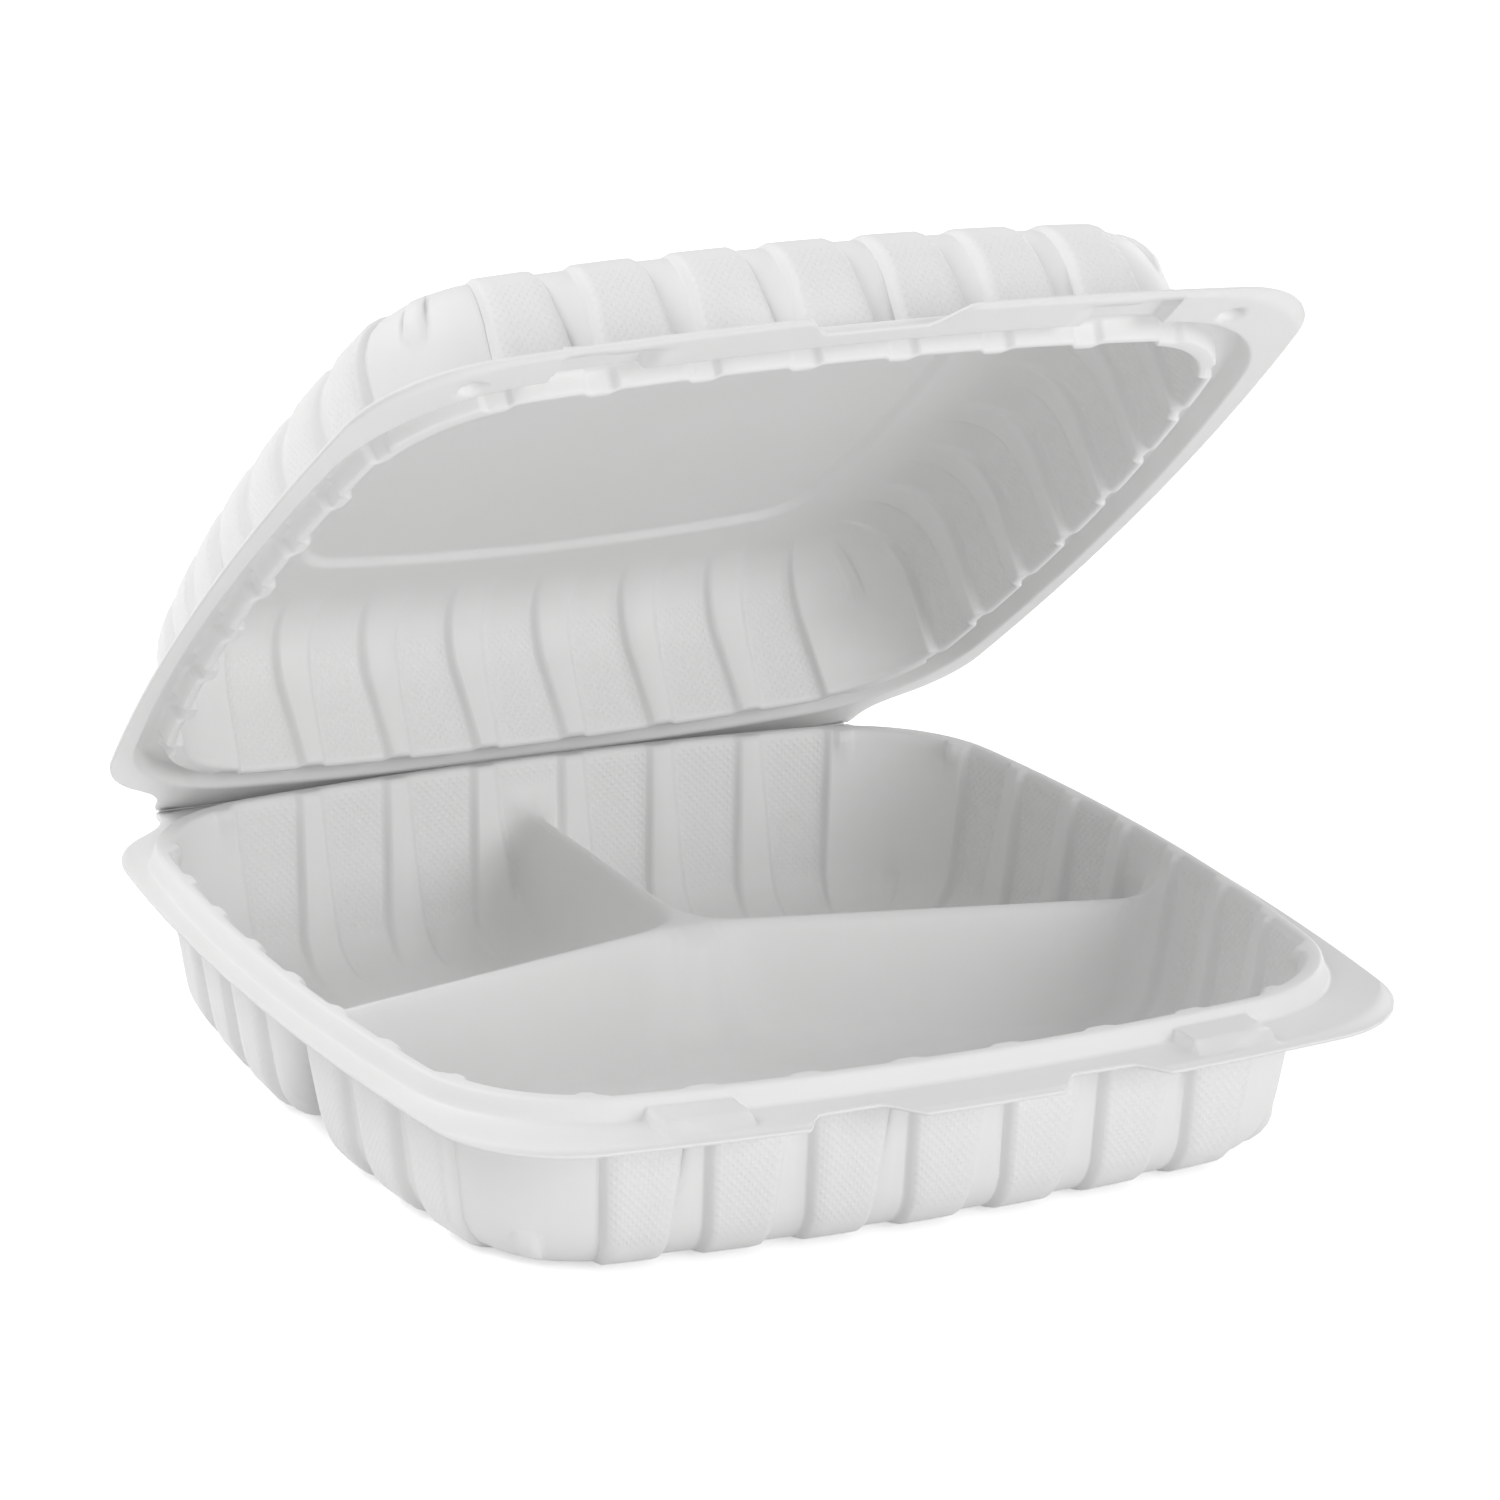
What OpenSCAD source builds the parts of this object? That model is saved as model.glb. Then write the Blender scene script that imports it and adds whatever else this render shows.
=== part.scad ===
// Hinged take-out clamshell, moulded from one plastic sheet: a tray with three compartments, and a lid.
// Millimetres. The tray stands on z = 0, centred on its floor, with the latches towards -y and the hinge at +y.

/* [Sheet] */
// Thickness of the moulded sheet
sheet_t = 0.8; // [0.6:0.1:1.2]
// Clearance between the closed lid and the tray
fit_gap = 0.3; // [0.2:0.05:0.5]

/* [Mouth] */
// Distance of the rounded corners' centres from the middle, on x and on y
corner_c = 67; // [50:1:90]
// Corner radius of the walls at the mouth
mouth_r = 33.3; // [28:0.1:40]
// How far the middle of each wall bows outwards
wall_bow = 4.4; // [2:0.1:8]

/* [Tray] */
// Height of the tray, floor to ledge
tray_h = 42; // [30:1:60]
// Corner radius of the tray's flat floor
tray_floor_r = 18; // [12:0.5:24]
// Radius between the tray's walls and its floor
tray_fillet = 10; // [6:0.5:14]

/* [Lid] */
// Height of the lid above the ledge
lid_h = 30; // [24:1:50]
// Corner radius of the lid's flat top
lid_top_r = 12.5; // [8:0.5:18]
// Radius between the lid's walls and its top
lid_fillet = 14; // [8:0.5:16]
// Distance of the raised panel's edge from the edge of the lid's flat top
panel_inset = 17; // [8:1:22]
// Height of the raised panel
panel_h = 1.6; // [1:0.1:3]
// Opening angle of the lid as it stands
lid_open = 38.8; // [5:0.1:140]

/* [Ribs] */
// Number of ribs on each wall
rib_count = 7; // [3:2:7]
// Share of the distance between neighbouring ribs that a rib's outer face takes
rib_share = 0.66; // [0.4:0.01:0.68]
// Width of each slanted side of a rib
rib_side = 1.8; // [1:0.1:3]
// How far the ribs stand out of the wall
rib_depth = 2.4; // [1.2:0.1:3]
// How much each side of a rib draws in from the mouth to the flat end
rib_taper = 2.3; // [0:0.1:3]

/* [Rim] */
// Width of the flat ledge around the mouth
ledge_w = 3.6; // [3.4:0.1:6]
// Height of the step from the flange up to the ledge
step_h = 4.5; // [3:0.1:7]
// Slope of the step, measured across
step_run = 1; // [0.6:0.1:2]
// Width of the flange beside the step, at the ends of the sides
flange_side_w = 4.1; // [3:0.1:10]
// Width of the flange in front of the step
flange_front_w = 13.5; // [12:0.1:20]
// Corner radius of the flange
flange_r = 29; // [20:0.5:34]
// How far the middle of each flange edge bows outwards
flange_bow = 5; // [2:0.1:8]

/* [Divider] */
// Depth of the divider's top below the ledge
divider_drop = 12; // [4:0.5:16]
// Width across the rounded top of the divider
divider_top_w = 3; // [2.4:0.1:6]
// Slope of the divider's faces, in degrees
divider_draft = 12; // [6:0.5:16]
// Place of the divider's meeting point behind the middle
divider_meet_y = 19; // [0:0.5:30]
// Angle by which the two side arms lean forwards, in degrees
divider_lean = 14; // [0:0.5:20]

/* [Latch] */
// Distance from a latch block's middle to the centre of the corner beside it
latch_in = 7.5; // [4:0.5:14]
// Width of a latch block
latch_w = 18; // [12:0.5:26]
// How far a latch block stands out of the step
latch_out = 5.6; // [3:0.1:7]
// Depth of a latch block's top below the ledge
latch_drop = 2; // [1:0.1:2.6]
// Half width of the finger tab in the middle of the tray's front edge
tab_half = 17.5; // [10:0.5:24]
// Distance from the middle plane to where the flange becomes wide again
wide_from = 40; // [32:0.5:46]
// How far the flange is cut back beside the finger tab
cut_back = 8; // [4:0.5:9]
// Distance of a corner dimple from the flange's side
dimple_side = 23; // [18:0.5:26]
// Distance of a corner dimple from the flange's front
dimple_front = 12.4; // [9:0.1:13]
// Radius of a corner dimple
dimple_r = 3.4; // [2:0.1:4]

/* [Hinge] */
// Distance of the living hinge's ends from the flange's sides
hinge_inset = 20; // [18:1:50]
// Width of the hinge strip behind the step, up to the fold line
hinge_w = 5.2; // [4.2:0.1:10]
// Gap between the two halves of the strip along the fold line
hinge_gap = 0.3; // [0.2:0.05:0.5]

/* [Hidden] */
side_steps = 2;
corner_steps = 5;
fillet_steps = 4;
overcut = 1;
half_t = sheet_t / 2;
edge_round = 2;
hinge_round = 8;
ledge_r = mouth_r + ledge_w;
foot_r = ledge_r + step_run;
foot_front = corner_c + foot_r + wall_bow;
flange_top = tray_h - step_h;
flange_x = corner_c + foot_r + flange_side_w;
flange_front = corner_c + foot_r + flange_front_w;
flange_back = corner_c + foot_r;
hinge_half = flange_x - hinge_inset;
hinge_y = foot_front + hinge_w;
latch_x = corner_c - latch_in;
dimple_x = flange_x - dimple_side;
dimple_y = flange_front - dimple_front;
divider_h = tray_h - divider_drop;
rib_pitch = 2 * corner_c / (rib_count - 1);
rib_w = rib_pitch * rib_share;
flange_half_y = (flange_front + flange_back) / 2;
flange_mid_y = (flange_back - flange_front) / 2;
wall_arc_r = side_arc(corner_c, mouth_r, wall_bow);
wall_arc_c = corner_c + mouth_r + wall_bow - wall_arc_r;
lid_z = tray_h + fit_gap;
lid_top = lid_z + lid_h;
axis_z = flange_top + fit_gap / 2;
mouth_half = corner_c + mouth_r + wall_bow;
front_edge = flange_front + flange_bow;
rib_core = 14;
latch_draft = 0.6;

// Radius of the long arc that bows a side of half chord q and runs smoothly into corner arcs of radius r
function side_arc(q, r, bow) = ((r + bow) * (r + bow) + q * q - r * r) / (2 * bow);
// Angle at which that arc meets the corner arc
function side_angle(q, r, bow) = atan2(q, side_arc(q, r, bow) - r - bow);

// One quarter of a rounded rectangle with bowed sides, from the middle of +x to the middle of +y
function quarter(qx, qy, r, bow) =
    let (rx = side_arc(qy, r, bow), ax = side_angle(qy, r, bow))
    let (ry = side_arc(qx, r, bow), ay = side_angle(qx, r, bow))
    concat(
        [for (i = [0 : side_steps - 1])
            let (a = ax * i / side_steps) [qx + r + bow - rx + rx * cos(a), rx * sin(a)]],
        [for (i = [0 : corner_steps])
            let (a = ax + (90 - ay - ax) * i / corner_steps) [qx + r * cos(a), qy + r * sin(a)]],
        [for (i = [1 : side_steps])
            let (a = 90 - ay + ay * i / side_steps) [ry * cos(a), qy + r + bow - ry + ry * sin(a)]]
    );

// Whole rounded rectangle with bowed sides, anticlockwise, shifted along y
function bowed(qx, qy, r, bow, shift = 0) =
    let (q = quarter(qx, qy, r, bow), last = len(q) - 1)
    [for (p = concat(
        q,
        [for (i = [last - 1 : -1 : 0]) [-q[i].x, q[i].y]],
        [for (i = [1 : last]) [-q[i].x, -q[i].y]],
        [for (i = [last - 1 : -1 : 1]) [q[i].x, -q[i].y]]
    )) [p.x, p.y + shift]];

// Outline of the walls, ledge and step: all share the same corner centres, so they run parallel
function outline(r) = bowed(corner_c, corner_c, r, wall_bow);

// Section of a cup, from its flat end up to its mouth, as corner radius and height.
// off moves it inwards, rise carries the wall on beyond the mouth
function section(h, flat_r, fillet, off, rise) =
    let (dx = mouth_r - flat_r, dz = h - fillet)
    let (meet = atan2(dz, dx) - acos(fillet / norm([dx, dz])))
    concat(
        [for (i = [0 : fillet_steps])
            let (a = -90 + (meet + 90) * i / fillet_steps)
            [flat_r + (fillet - off) * cos(a), fillet + (fillet - off) * sin(a)]],
        [[mouth_r - off / cos(meet) - rise * tan(meet), h + rise]]
    );

// Solid through a stack of outlines, each with the same number of points, from the lowest up
module loft(outlines, heights) {
    n = len(outlines[0]);
    top = (len(outlines) - 1) * n;
    polyhedron(
        points = [for (k = [0 : len(outlines) - 1]) for (p = outlines[k]) [p.x, p.y, heights[k]]],
        faces = concat(
            [[for (i = [0 : n - 1]) i]],
            [[for (i = [n - 1 : -1 : 0]) top + i]],
            [for (k = [0 : len(outlines) - 2]) for (i = [0 : n - 1])
                let (a = k * n + i, b = k * n + (i + 1) % n)
                each [[a, a + n, b + n], [a, b + n, b]]]
        )
    );
}

// One rib of a cup on its +x wall: the section pushed out, with slanted sides that draw in towards the flat end,
// closed inside the cup
module rib(points, off) {
    inside = corner_c + wall_bow;
    core = inside + points[0][0] - rib_core;
    sink = rib_depth / 8;
    low = points[0][1];
    high = points[len(points) - 1][1];
    half = rib_w / 2 - off;
    slope = rib_taper / (high - low);
    back_z = low + rib_core / 2;
    corners = concat(
        [for (p = points) [inside + p[0] + rib_depth, half - slope * (high - p[1]), p[1] + sink]],
        [for (p = points) [inside + p[0] - sink, half + rib_side - slope * (high - p[1]), p[1] + sink]],
        [[core, half + rib_side, high + sink], [core, half + rib_side - slope * (high - back_z), back_z]]
    );
    both = concat(corners, [for (p = corners) [p.x, -p.y, p.z]]);
    hull()
        polyhedron(both, [[for (i = [0 : len(both) - 1]) i]]);
}

// Ribbed cup with its flat end at z = 0 and its mouth up; off moves the whole surface inwards
module cup(h, flat_r, fillet, off, rise) {
    points = section(h, flat_r, fillet, off, rise);
    loft([for (p = points) outline(p[0])], [for (p = points) p[1]]);
    for (wall = [0 : 3])
        for (k = [0 : rib_count - 1])
            rotate(90 * wall)
                translate([wall_arc_c, 0, 0])
                    rotate((k - (rib_count - 1) / 2) * rib_pitch / wall_arc_r * 180 / PI)
                        translate([-wall_arc_c, 0, 0])
                            rib(points, off);
}

// Raised plug of the rim, step and ledge; grow moves its surface outwards, deep reaches below the flange's top
module plug(grow, deep) {
    slope = step_run / step_h;
    loft(
        [outline(foot_r + grow + deep * slope), outline(ledge_r + grow)],
        [flange_top + grow - deep, tray_h + grow]
    );
}

// The flange's plan with its half of the hinge strip, before the front edge is cut
module flange_plan() {
    offset(r = -hinge_round)
        offset(delta = hinge_round) {
            polygon(bowed(flange_x - flange_r, flange_half_y - flange_r, flange_r, flange_bow, flange_mid_y));
            translate([-hinge_half, 0])
                square([2 * hinge_half, hinge_y - hinge_gap / 2]);
        }
}

// Cuts in the front edge, from one distance off the middle plane to another, on both sides
module front_cut(from, to) {
    for (side = [-1, 1])
        scale([side, 1])
            translate([from, -front_edge - overcut])
                square([to - from, cut_back + overcut]);
}

module tray_flange_plan() {
    offset(r = edge_round)
        offset(r = -2 * edge_round)
            offset(delta = edge_round)
                difference() {
                    flange_plan();
                    front_cut(tab_half, wide_from);
                }
}

module lid_flange_plan() {
    offset(r = edge_round)
        offset(r = -2 * edge_round)
            offset(delta = edge_round)
                difference() {
                    flange_plan();
                    front_cut(-overcut, tab_half - edge_round);
                }
}

// The two latch blocks in front of the step; grow moves their surface outwards, deep reaches below the flange
module latches(grow, deep) {
    wide = latch_w + 2 * grow;
    long = latch_out + foot_front - mouth_half + wall_bow + 2 * grow;
    front = -foot_front - latch_out - grow;
    flare = latch_draft * deep / (step_h - latch_drop);
    for (side = [-1, 1])
        translate([side * latch_x, 0, 0])
            hull() {
                translate([-flare - wide / 2, front - flare, flange_top + grow - deep])
                    cube([wide + 2 * flare, long, half_t]);
                translate([latch_draft - wide / 2, front + latch_draft, tray_h - latch_drop + grow - half_t])
                    cube([wide - 2 * latch_draft, long - latch_draft, half_t]);
            }
}

// Y-shaped divider: three drafted arms from the meeting point to the back wall and the two side walls
module divider(off, deep) {
    top_r = divider_top_w / 2 - off;
    foot_gain = (divider_h - off + deep) * tan(divider_draft);
    meet = [0, divider_meet_y];
    arm = mouth_half + 2 * rib_depth;
    ends = [
        [0, arm],
        [arm, divider_meet_y - arm * tan(divider_lean)],
        [-arm, divider_meet_y - arm * tan(divider_lean)]
    ];
    for (end = ends)
        hull()
            for (p = [meet, end])
                translate([p.x, p.y, -deep])
                    cylinder(h = divider_h - off + deep, r1 = top_r + foot_gain, r2 = top_r, $fn = 16);
}

// Small round dimples in the front corners of the lid's flange, from one height over its underside to another
module dimples(grow, from, to) {
    for (side = [-1, 1])
        translate([side * dimple_x, -dimple_y, flange_top + fit_gap + from])
            cylinder(h = to - from, r1 = dimple_r + grow, r2 = dimple_r / 2 + grow, $fn = 20);
}

module tray() {
    color("whitesmoke")
        difference() {
            union() {
                difference() {
                    union() {
                        translate([0, 0, flange_top - sheet_t])
                            linear_extrude(sheet_t)
                                tray_flange_plan($fn = 24);
                        plug(0, half_t);
                        latches(0, half_t);
                    }
                    plug(-sheet_t, overcut);
                    latches(-sheet_t, overcut);
                }
                difference() {
                    cup(tray_h, tray_floor_r, tray_fillet, 0, -half_t);
                    divider(sheet_t, overcut);
                }
            }
            difference() {
                cup(tray_h, tray_floor_r, tray_fillet, sheet_t, overcut);
                divider(0, overcut);
            }
        }
}

// Raised panel in the middle of the lid's top, with sloped edges, from one height over the top to another
module panel(off, from) {
    inner_c = corner_c - panel_inset;
    rise = panel_h - off;
    loft(
        [bowed(inner_c, inner_c, lid_top_r - off - from, wall_bow),
         bowed(inner_c, inner_c, lid_top_r - off - rise, wall_bow)],
        [lid_top + from, lid_top + rise]
    );
}

module closed_lid() {
    difference() {
        union() {
            difference() {
                union() {
                    translate([0, 0, flange_top + fit_gap])
                        linear_extrude(sheet_t)
                            lid_flange_plan($fn = 24);
                    plug(fit_gap + sheet_t, half_t);
                    latches(fit_gap + sheet_t, half_t);
                    dimples(half_t, half_t, dimple_r * 0.7);
                }
                plug(fit_gap, fit_gap + overcut);
                latches(fit_gap, fit_gap + overcut);
                dimples(-half_t, -overcut, dimple_r * 0.7 - sheet_t);
            }
            translate([0, 0, lid_top])
                mirror([0, 0, 1])
                    cup(lid_h, lid_top_r, lid_fillet, 0, -half_t);
            panel(0, -half_t);
        }
        translate([0, 0, lid_top])
            mirror([0, 0, 1])
                cup(lid_h, lid_top_r, lid_fillet, sheet_t, overcut);
        panel(sheet_t, -2 * sheet_t);
    }
}

module lid() {
    color("white")
        translate([0, hinge_y, axis_z])
            rotate([-lid_open, 0, 0])
                translate([0, -hinge_y, -axis_z])
                    closed_lid();
}

tray();
lid();
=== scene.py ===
"""Looks of a hinged take-out container moulded from one sheet of white plastic.

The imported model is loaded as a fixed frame. The tray, the lid and the living hinge are surfaces worked
out on grids, finished as sheets, and stand in a plain white studio. Lengths are in metres.
"""

import math

import bpy
import numpy as np
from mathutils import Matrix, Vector


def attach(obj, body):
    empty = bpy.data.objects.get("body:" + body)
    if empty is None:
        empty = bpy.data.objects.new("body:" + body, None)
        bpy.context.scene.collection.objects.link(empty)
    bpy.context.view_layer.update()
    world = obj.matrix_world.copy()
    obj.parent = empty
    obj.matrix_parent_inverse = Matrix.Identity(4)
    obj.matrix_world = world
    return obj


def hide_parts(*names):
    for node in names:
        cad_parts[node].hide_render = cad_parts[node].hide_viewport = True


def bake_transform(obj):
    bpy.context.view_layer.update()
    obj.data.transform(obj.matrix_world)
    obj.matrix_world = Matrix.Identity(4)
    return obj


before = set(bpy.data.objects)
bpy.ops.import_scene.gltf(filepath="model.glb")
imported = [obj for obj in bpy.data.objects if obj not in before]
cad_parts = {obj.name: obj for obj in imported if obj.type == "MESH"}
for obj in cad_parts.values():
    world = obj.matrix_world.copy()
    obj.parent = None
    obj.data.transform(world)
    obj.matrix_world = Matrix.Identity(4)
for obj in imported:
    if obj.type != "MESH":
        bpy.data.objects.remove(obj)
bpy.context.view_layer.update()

bl_info = {
    "name": "Take-out container",
    "version": (1, 0, 0),
    "blender": (4, 5, 0),
    "location": "View3D > Sidebar > Container",
    "description": "Builds the moulded tray, lid and living hinge of a take-out container",
    "category": "Add Mesh",
}

MM = 0.001

# how often an interval is halved to find a cup's height, and an edge in plan
CUP_HALVINGS = 34
EDGE_HALVINGS = 30

# rows of the rim's section: arcs at the mouth, over an edge and in a hollow, and places across the flange
RIM_EDGE = 0.9 * MM
LIP_LEAN = 0.7 * MM
MOUTH_ARC = np.radians([18, 42, 66, 90])
EDGE_ARC = np.radians([0, 28, 54, 78])
HOLLOW_ARC = np.radians([76, 50, 24, 0])
FLANGE_ROWS = np.array([0.6, 1.3, 2.1, 2.9, 3.7, 4.2, 4.6, 5.0, 5.5, 6.2, 7.2, 8.6, 10.2]) * MM

# rows over the flat ends: away from the divider's meeting point, short of the wall, and across the panel's edge
MEET_ROWS = np.array([1.2, 2.6, 4.2, 6, 8, 10.5, 13.5, 17, 22]) * MM
WALL_ROWS = np.array([22, 16, 11, 7, 4, 1.8]) * MM
PANEL_ROWS = np.array([-6, -2.6, -1.7, -1.1, -0.6, -0.2, 0.2, 0.6, 1.1, 1.7, 2.6]) * MM

# lines beside a divider's arm, and across the edge of a latch
ARM_LINES = np.array([0, 0.8, 1.5, 2.1, 2.9, 4, 5.4, 7.2, 9.5, 12.5, 16]) * MM
LATCH_LINES = np.array([-1.6, -1.0, -0.5, -0.1, 0.3, 0.7, 1.2, 2.0]) * MM

WEB_HALF = 0.16 * MM

# studio: half the floor's width, its glow, the surroundings' light, and lamps by name, place and watts
FLOOR_HALF = 6.0
FLOOR_GLOW = 0.52
SKY_LIGHT = 0.45
LAMP_WIDTH = 1.2
LAMP_AIM = (0, 0, 0.07)
LAMPS = (
    ("front", (0.73, -2.0, 0.64), 17),
    ("right", (1.84, 1.06, 0.64), 11),
    ("left", (-1.56, 0, 1.63), 12),
    ("back", (-0.78, 1.35, 1.63), 15),
)
CAMERA_SENSOR = 36
CAMERA_LENS = 141.554
CAMERA_REACH = 20
CAMERA_PLACE = (-0.53778, -1.0843, 0.45626)
CAMERA_DEGREES = (72.5133, -1.1241, -26.2364)


def length(name, description, millimetres):
    """A length property, given in millimetres and held in metres."""
    return bpy.props.FloatProperty(
        name=name, description=description, default=millimetres * MM, unit="LENGTH", precision=5
    )


def angle(name, description, degrees):
    """An angle property, given in degrees and held in radians."""
    return bpy.props.FloatProperty(
        name=name, description=description, default=math.radians(degrees), subtype="ANGLE", unit="ROTATION"
    )


class ContainerSizes(bpy.types.PropertyGroup):
    """Sizes of the container that a user would change."""

    sheet: length("Sheet", "Thickness of the moulded sheet", 0.8)
    gap: length("Gap", "Clearance between the closed lid and the tray", 0.3)
    corner: length("Corner centre", "Distance of the corner arcs' centres from the middle", 67)
    mouth_r: length("Mouth radius", "Corner radius of the walls at the mouth", 33.3)
    bow: length("Wall bow", "How far the middle of each wall bows outwards", 4.4)
    tray_h: length("Tray height", "Height of the tray, floor to ledge", 42)
    tray_flat_r: length("Tray floor radius", "Corner radius of the tray's flat floor", 18)
    tray_fillet: length("Tray fillet", "Radius between the tray's walls and floor", 10)
    lid_h: length("Lid height", "Height of the lid above the ledge", 30)
    lid_flat_r: length("Lid top radius", "Corner radius of the lid's flat top", 12.5)
    lid_fillet: length("Lid fillet", "Radius between the lid's walls and top", 14)
    lid_mouth_r: length("Lid mouth radius", "Corner radius of the lid's walls at its lip", 27.8)
    lip_r: length("Lip radius", "Corner radius of the lip that enters the tray's mouth", 31.3)
    lip_channel: length("Lip channel", "How far the lip's wall is set back at the gaps between ribs", 1.6)
    panel_inset: length("Panel inset", "Distance from the lid's flat edge to its raised panel", 17)
    panel_h: length("Panel height", "Height of the lid's raised panel", 1.6)
    lid_open: angle("Lid opening", "Angle at which the lid stands", 38.8)
    rib_count: bpy.props.IntProperty(name="Ribs", description="Ribs on each wall", default=7, min=3)
    rib_share: bpy.props.FloatProperty(
        name="Rib share", description="Face width over rib pitch", default=0.66
    )
    rib_side: length("Rib side", "Width of a rib's slanted side", 1.8)
    rib_depth: length("Rib depth", "How far the ribs stand out of the wall", 2.4)
    rib_taper: length("Rib taper", "How much each side of a rib draws in from mouth to flat end", 2.3)
    rib_rim: length("Rib depth at the mouth", "How far the tray's ribs still stand out at the mouth", 1.3)
    rib_lip: length("Rib depth at the lip", "How far the lid's ribs still stand out at the lip", 2)
    rib_fade: length("Rib fade", "Height below the mouth over which the ribs grow shallow", 16)
    ledge_w: length("Ledge width", "Width of the flat ledge around the mouth", 3.6)
    step_h: length("Step height", "Height from the flange up to the ledge", 4.5)
    step_run: length("Step run", "Slope of the step, measured across", 1)
    flange_side: length("Side flange", "Width of the flange beside the step", 4.1)
    flange_front: length("Front flange", "Width of the flange in front of the step", 13.5)
    flange_r: length("Flange radius", "Corner radius of the flange", 29)
    flange_bow: length("Flange bow", "How far the middle of each flange edge bows outwards", 5)
    divider_drop: length("Divider drop", "Depth of the divider's top below the ledge", 12)
    divider_top: length("Divider top", "Width across the top of the divider", 3)
    divider_draft: angle("Divider draft", "Slope of the divider's faces", 12)
    divider_meet: length("Divider meeting", "Place of the divider's meeting point behind the middle", 19)
    divider_lean: angle("Divider lean", "Angle by which the side arms lean forwards", 14)
    latch_in: length("Latch inset", "Distance of a latch from the corner's centre", 7.5)
    latch_w: length("Latch width", "Width of a latch block", 18)
    latch_out: length("Latch reach", "How far a latch block stands out of the step", 5.6)
    latch_drop: length("Latch drop", "Depth of a latch block's top below the ledge", 2)
    tab_half: length("Tab half width", "Half width of the finger tab", 17.5)
    wide_from: length("Wide flange from", "Where the front flange becomes wide again", 40)
    cut_back: length("Cut back", "How far the flange is cut back beside the tab", 8)
    dimple_side: length("Dimple from side", "Distance of a corner dimple from the flange's side", 23)
    dimple_front: length("Dimple from front", "Distance of a corner dimple from the flange's front", 12.4)
    dimple_r: length("Dimple radius", "Radius of a corner dimple", 3.4)
    hinge_inset: length("Hinge inset", "Distance of the hinge's ends from the flange's sides", 20)
    hinge_w: length("Hinge width", "Width of the strip behind the step", 5.2)
    weave: length("Weave pitch", "Pitch of the basket texture on the ribs", 2.05)
    weave_depth: length("Weave depth", "Depth of the basket texture", 0.1)


class ContainerColours(bpy.types.PropertyGroup):
    """Colours of the container and of its studio."""

    plastic: bpy.props.FloatVectorProperty(
        name="Plastic", description="Colour of the plastic", default=(0.86, 0.86, 0.857), subtype="COLOR"
    )
    floor: bpy.props.FloatVectorProperty(
        name="Floor", description="Colour of the floor", default=(0.9, 0.9, 0.9), subtype="COLOR"
    )


class Form:
    """Places and sizes that follow from the sizes in the panel."""

    def __init__(self, size):
        self.size = size
        self.arc_r = side_arc(size.corner, size.mouth_r, size.bow)
        self.arc_c = size.corner + size.mouth_r + size.bow - self.arc_r
        self.arc_half = math.atan2(size.corner, self.arc_r - size.mouth_r - size.bow)
        self.side_half = self.arc_r * self.arc_half + size.mouth_r * (math.pi / 4 - self.arc_half)
        self.ledge_r = size.mouth_r + size.ledge_w
        self.foot_r = self.ledge_r + size.step_run
        self.foot_front = size.corner + self.foot_r + size.bow
        self.flange_x = size.corner + self.foot_r + size.flange_side
        self.flange_y0 = size.corner + self.foot_r + size.flange_front
        self.flange_y1 = size.corner + self.foot_r
        self.front_edge = self.flange_y0 + size.flange_bow
        self.flange_top = size.tray_h - size.step_h
        self.hinge_half = self.flange_x - size.hinge_inset
        self.hinge_y = self.foot_front + size.hinge_w
        self.hinge_z = self.flange_top + size.gap / 2
        self.latch_x = size.corner - size.latch_in
        self.dimple = (self.flange_x - size.dimple_side, size.dimple_front - self.flange_y0)
        self.pitch = 2 * size.corner / (size.rib_count - 1)
        self.rib_half = self.pitch * size.rib_share / 2
        self.lug_at = size.corner + self.pitch * 0.54
        self.meet = np.array([0, size.divider_meet])
        across, forward = math.cos(size.divider_lean), -math.sin(size.divider_lean)
        self.arms = np.array([[across, forward], [0, 1], [-across, forward]])


def side_arc(chord, radius, bow):
    """Radius of the long arc that bows a side of half chord and runs smoothly into its corner arcs."""
    return ((radius + bow) ** 2 + chord**2 - radius**2) / (2 * bow)


def ease(x):
    """Smooth rise from 0 to 1: three x squared less two x cubed."""
    x = np.clip(x, 0, 1)
    return x * x * (3 - 2 * x)


def soft_min(a, b, k):
    """The lesser of a and b, with the corner between them rounded over a width k."""
    h = np.maximum(k - np.abs(a - b), 0)
    return np.minimum(a, b) - h * h / (4 * k)


def soft_max(a, b, k):
    """The greater of a and b, with the corner between them rounded over a width k."""
    return -soft_min(-a, -b, k)


def bowed_radius(x, y, cx, cy, radius, bow):
    """Corner radius of the outline through a point, in a family of parallel bowed rounded rectangles.

    Beside a corner arc it is the distance to the arc's centre; beside a long side it is the distance to
    the centre of the side's own arc, less what that arc's radius has more than the corner's.
    """
    ax, ay = np.abs(x), np.abs(y)
    rx, ry = side_arc(cy, radius, bow), side_arc(cx, radius, bow)
    to_x = np.hypot(ax - (cx + radius + bow - rx), ay) - rx + radius
    to_y = np.hypot(ax, ay - (cy + radius + bow - ry)) - ry + radius
    turn = np.arctan2(ay - cy, ax - cx)
    low = math.atan2(cy, rx - radius - bow)
    high = math.pi / 2 - math.atan2(cx, ry - radius - bow)
    corner = (ax > cx) & (ay > cy) & (turn > low) & (turn < high)
    return np.where(corner, np.hypot(ax - cx, ay - cy), np.maximum(to_x, to_y))


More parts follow.
